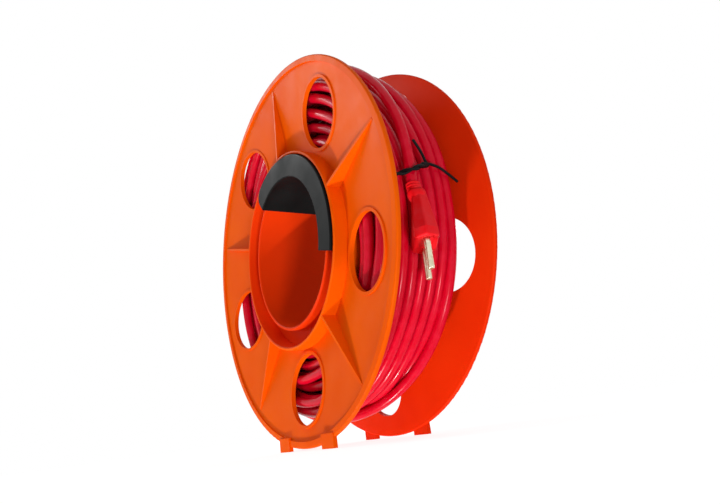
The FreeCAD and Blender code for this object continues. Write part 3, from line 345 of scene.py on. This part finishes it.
def bulge(turned, radius, y, ride_up=0.0):
    """The outer layers stand off the drum at the top and bottom and crowd towards the front."""
    up = max(0.0, math.sin(turned)) ** 2
    down = max(0.0, -math.sin(turned)) ** 2
    depth = ease((radius - BULGE_START) / BULGE_FADE)
    radius += depth * ((TOP_RISE + ride_up) * up + BOTTOM_SAG * down)
    # The rearmost turns stand out most where they come down at the right.
    hump = max(0.0, math.sin(turned + HUMP_LEAN)) ** 4
    radius += depth * HUMP_RISE * hump * ease((y - HUMP_FRONT) / HUMP_FADE)
    at_top = TOP_CROWDING[0] * y + TOP_CROWDING[1]
    at_bottom = BOTTOM_CROWDING[0] * y + BOTTOM_CROWDING[1]
    y -= depth * (up * at_top + down * at_bottom)
    return radius, max(y, -room(radius, -1))


def wound_route():
    """Every point of the cord, from the connector's boot to the plug's boot."""
    route = [Vector(row) * MM for row in CONNECTOR_LEAD]
    turned = FIRST_ANGLE
    for step in range(LEAD_STEPS):
        radius = LEAD_RADIUS + (FIRST_LAYER - LEAD_RADIUS) * ease(step / LEAD_STEPS)
        route.append(on_reel(turned, radius * SWELL, LEAD_BACK - step * LEAD_DRIFT))
        turned -= 2 * math.pi / STEPS
    spacing = (LAST_LAYER - FIRST_LAYER) / len(LAYER_STEPS)
    side = 1
    for layer, steps in enumerate(LAYER_STEPS):
        base = FIRST_LAYER + spacing * layer
        for step in range(steps + CLIMB_STEPS):
            radius = base + spacing * ease((step - steps) / CLIMB_STEPS)
            across = min(1.0, step / steps)
            y = side * room(radius, side) * (1 - across) - side * room(radius, -side) * across
            wound, lateral = bulge(turned, *slack(turned, radius, y))
            route.append(on_reel(turned, wound * SWELL, lateral))
            turned -= 2 * math.pi / STEPS
        side = -side
    for step in range(OUTER_STEPS):
        ride_up = RIDE_UP * (step // STEPS % 2)
        y = OUTER_FRONT + OUTER_PITCH * step / STEPS
        wound, lateral = bulge(turned, LAST_LAYER, y, ride_up)
        route.append(on_reel(turned, wound * SWELL, lateral))
        turned -= 2 * math.pi / STEPS
    route += rows_on_reel(CROSSING)
    route += rows_on_reel(PLUG_LEAD)
    end = PLUG_PLACE + PLUG_TURN @ BOOT_END
    behind = PLUG_TURN @ Vector((math.sin(BOOT_LEAN), 0, -math.cos(BOOT_LEAN)))
    return route + [end + behind * STRAIGHT, end]


def round_wire(name, points, radius, material, resolution=6, sides=5):
    """A cord or wire whose spline runs smoothly between its points."""
    curve = bpy.data.curves.new(name, "CURVE")
    curve.dimensions = "3D"
    curve.resolution_u = resolution
    curve.bevel_depth = radius
    curve.bevel_resolution = sides
    curve.use_fill_caps = True
    spline = curve.splines.new("NURBS")
    spline.points.add(len(points) - 1)
    for point, place in zip(spline.points, points):
        point.co = (*place, 1.0)
    spline.order_u = 3
    spline.use_endpoint_u = True
    curve.materials.append(material)
    made = bpy.data.objects.new(name, curve)
    bpy.context.collection.objects.link(made)
    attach(made, "reel")
    return made


cord_points = wound_route()
cord = round_wire("wound_cord", cord_points, CORD / 2, SHEATH)
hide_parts("cable_inner_layers", "cable_outer_turns", "plug_lead", "connector_lead")


# The plug's collar and strain relief

# Sections of the moulding around the boot, in the plug's own frame and in millimetres: half the
# width, half the height and the distance behind the face. The ribs bend with the cord.
COLLAR = [
    (6.3, 4.4, 30.5), (6.9, 5.0, 31.4), (7.1, 5.5, 32.6), (7.1, 5.8, 34.6), (6.8, 5.7, 35.6),
    (6.0, 5.3, 36.3), (4.7, 4.6, 36.6), (4.7, 4.6, 37.2), (5.2, 5.1, 37.5), (5.1, 5.0, 38.3),
    (4.6, 4.5, 38.6), (4.6, 4.5, 39.2), (5.0, 4.9, 39.5), (4.9, 4.8, 40.3), (4.5, 4.4, 40.6),
    (4.4, 4.4, 41.2), (4.7, 4.7, 41.5), (4.6, 4.6, 42.3), (4.1, 4.1, 42.7), (3.6, 3.6, 43.0),
]
COLLAR_SIDES = 32
COLLAR_NECK = 36.4          # the sections behind this one are round
SQUARENESS = 0.75           # of the sections before it: 1 is an ellipse, and less is squarer


def collar_ring(half_wide, half_high, behind):
    """One section of the collar: a rounded oblong that follows the boot's bend."""
    bent = (behind - BOOT_START) / BOOT_LONG
    past = max(0.0, behind - BOOT_START - BOOT_LONG)
    squareness = SQUARENESS if behind < COLLAR_NECK else 1.0
    ring = []
    for step in range(COLLAR_SIDES):
        angle = 2 * math.pi * step / COLLAR_SIDES
        across = math.copysign(abs(math.cos(angle)) ** squareness, math.cos(angle))
        up = math.copysign(abs(math.sin(angle)) ** squareness, math.sin(angle))
        place = Vector((half_wide * across + past * math.sin(BOOT_LEAN),
                        half_high * up + BOOT_SHIFT * min(1.0, bent), -behind))
        ring.append(PLUG_PLACE + PLUG_TURN @ (place * MM))
    return ring


def plug_collar():
    """A skin through the collar's sections, smoothed but for its ribs."""
    vertices = [place for section in COLLAR for place in collar_ring(*section)]
    faces = []
    for row in range(len(COLLAR) - 1):
        for step in range(COLLAR_SIDES):
            beside = (step + 1) % COLLAR_SIDES
            start = row * COLLAR_SIDES
            faces.append((start + step, start + beside,
                          start + COLLAR_SIDES + beside, start + COLLAR_SIDES + step))
    mesh = bpy.data.meshes.new("plug_collar")
    mesh.from_pydata(vertices, [], faces)
    mesh.shade_smooth()
    mesh.materials.append(MOULDING)
    made = bpy.data.objects.new("plug_collar", mesh)
    bpy.context.collection.objects.link(made)
    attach(made, "reel")
    return made


collar = plug_collar()


# The twist tie

TIE_WIRE = 0.95 * MM        # radius
TIE_BAND = [(128.4, -26.5, 9.0), (132.3, -20.0, 9.5), (139.6, -13.0, 10.8), (138.6, -7.5, 13.0)]
KNOT_START = (136.0, -4.6, 15.2)
KNOT_END = (131.0, 3.4, 19.0)
LONG_TAIL = [(130.2, 9.5, 20.0), (129.6, 18.0, 18.4), (127.9, 31.0, 11.2)]
SHORT_TAIL = [(132.6, 1.5, 21.0), (136.0, -4.0, 26.0), (138.8, -11.0, 31.0)]
BAND_TWISTS = 1.5
BAND_STEPS = 16
KNOT_TWISTS = 2.5
KNOT_STEPS = 30
KNOT_APART = 1.25 * TIE_WIRE


def by_axis(row):
    return (Vector(row) + Vector((0, 0, AXIS_UP / MM))) * MM


def twisted(points, phase, apart, twists, steps):
    """One of two wires that turn about each other along straight stretches between points."""
    ends = [by_axis(row) for row in points]
    lengths = [(b - a).length for a, b in zip(ends, ends[1:])]
    places = []
    for step in range(steps + 1):
        along = step / steps * sum(lengths)
        for a, b, length in zip(ends, ends[1:], lengths):
            if along <= length or b is ends[-1]:
                break
            along -= length
        heading = (b - a).normalized()
        aside = heading.cross(Vector((1, 0, 0))).normalized()
        other = heading.cross(aside)
        angle = phase + 2 * math.pi * twists * step / steps
        off = (aside * math.cos(angle) + other * math.sin(angle)) * apart
        places.append(a + heading * along + off)
    return places


def tie_wire(name, phase, tail):
    band = twisted(TIE_BAND + [KNOT_START], phase, TIE_WIRE, BAND_TWISTS, BAND_STEPS)
    knot = twisted([KNOT_START, KNOT_END], phase, KNOT_APART, KNOT_TWISTS, KNOT_STEPS)
    places = band + knot[1:] + [by_axis(row) for row in tail]
    return round_wire(name, places, TIE_WIRE, TIE, sides=3)


tie_pieces = [tie_wire("tie_wire_1", 0.0, LONG_TAIL), tie_wire("tie_wire_2", math.pi, SHORT_TAIL)]
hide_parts("twist_tie")
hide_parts("twist_tie")


# Floor, light and camera

def seen_directly(tree):
    """1 for the camera's own rays and for what shows in gloss or through glass, otherwise 0."""
    paths = node(tree, "LightPath").outputs
    seen = node(tree, "Math", links={0: paths["Is Camera Ray"], 1: paths["Is Glossy Ray"]},
                operation="MAXIMUM").outputs[0]
    return node(tree, "Math", links={0: seen, 1: paths["Is Transmission Ray"]},
                operation="MAXIMUM").outputs[0]


def white_paper():
    """White paper: it shows white to the camera, and keeps the object's shadow near it."""
    material, tree, place = start_material("white_paper_sweep")
    seen = seen_directly(tree)
    away = node(tree, "VectorMath", links={0: place}, operation="LENGTH").outputs["Value"]
    # The shadow lies within 0.25 m of the middle, and from 0.9 m on the paper is plain white.
    glow = node(tree, "MapRange", {"From Min": 0.25, "From Max": 0.9, "To Min": 0.86, "To Max": 1.0},
                {"Value": away}).outputs["Result"]
    glow = node(tree, "Math", links={0: glow, 1: seen}, operation="MULTIPLY").outputs[0]
    # The camera sees only a part of the paper's own light and shade: the rest is the glow.
    shade = node(tree, "MapRange", {"To Min": 0.85, "To Max": 0.3}, {"Value": seen}).outputs[0]
    lit = node(tree, "BsdfDiffuse", links={"Color": shade}).outputs[0]
    white = node(tree, "Emission", {"Color": (1, 1, 1, 1)}, {"Strength": glow}).outputs[0]
    both = node(tree, "AddShader", links={0: lit, 1: white}).outputs[0]
    node(tree, "OutputMaterial", links={"Surface": both})
    return material


def lamp(name, place, size, power):
    data = bpy.data.lights.new(name, "AREA")
    data.shape = "DISK"
    data.size = size
    data.energy = power
    made = bpy.data.objects.new(name, data)
    made.location = place
    aim = Vector((0, 0, AXIS_UP)) - Vector(place)
    made.rotation_euler = aim.to_track_quat("-Z", "Y").to_euler()
    bpy.context.collection.objects.link(made)


FLOOR_SIZE = 12.0
FLOOR_DROP = 0.3 * MM       # below the feet
bpy.ops.mesh.primitive_plane_add(size=FLOOR_SIZE, location=(0, 0, -FLOOR_DROP))
floor = bpy.context.object
floor.name = "studio_floor"
floor.data.materials.append(white_paper())
# The low lamps stand below the floor's level, and it lets their light through.
floor.visible_shadow = False

# The key lamp stands low in front and a little to the left, where the photograph's shadows in the
# hub and beside the ribs put it.
lamp("key_softbox", (-0.32, -0.91, -1.48), 0.12, 22.5)
lamp("low_side_softbox", (0.85, -0.30, -0.42), 0.2, 4.6)
lamp("top_softbox", (-0.95, -0.45, 1.0), 0.5, 5.0)
lamp("back_softbox", (-1.1, 1.4, 0.7), 0.9, 14)

world = bpy.data.worlds.new("studio")
bpy.context.scene.world = world
world.use_nodes = True
sky = world.node_tree
sky.nodes.clear()
strength = node(sky, "MapRange", {"To Min": 0.4, "To Max": 1.0},
                {"Value": seen_directly(sky)}).outputs["Result"]
shine = node(sky, "Background", {"Color": (1, 1, 1, 1)}, {"Strength": strength}).outputs[0]
node(sky, "OutputWorld", links={"Surface": shine})

scene = bpy.context.scene
scene.view_settings.view_transform = "Standard"

CAMERA_PLACE = Vector((408.11, -239.41, 11.05)) * MM
CAMERA_VIEW = Vector((-0.80305, 0.52701, 0.27818))
CAMERA_UP = Vector((0.30362, -0.03983, 0.95196))
LENS = 29.987               # millimetres, on a sensor 36 mm wide
camera_data = bpy.data.cameras.new("camera")
camera_data.lens = LENS
camera_data.sensor_width = 36
camera_data.clip_start = 0.01
camera = bpy.data.objects.new("camera", camera_data)
right = CAMERA_VIEW.cross(CAMERA_UP).normalized()
turn = Matrix((right, CAMERA_UP, -CAMERA_VIEW)).transposed()
camera.matrix_world = Matrix.Translation(CAMERA_PLACE) @ turn.to_4x4()
bpy.context.collection.objects.link(camera)
scene.camera = camera
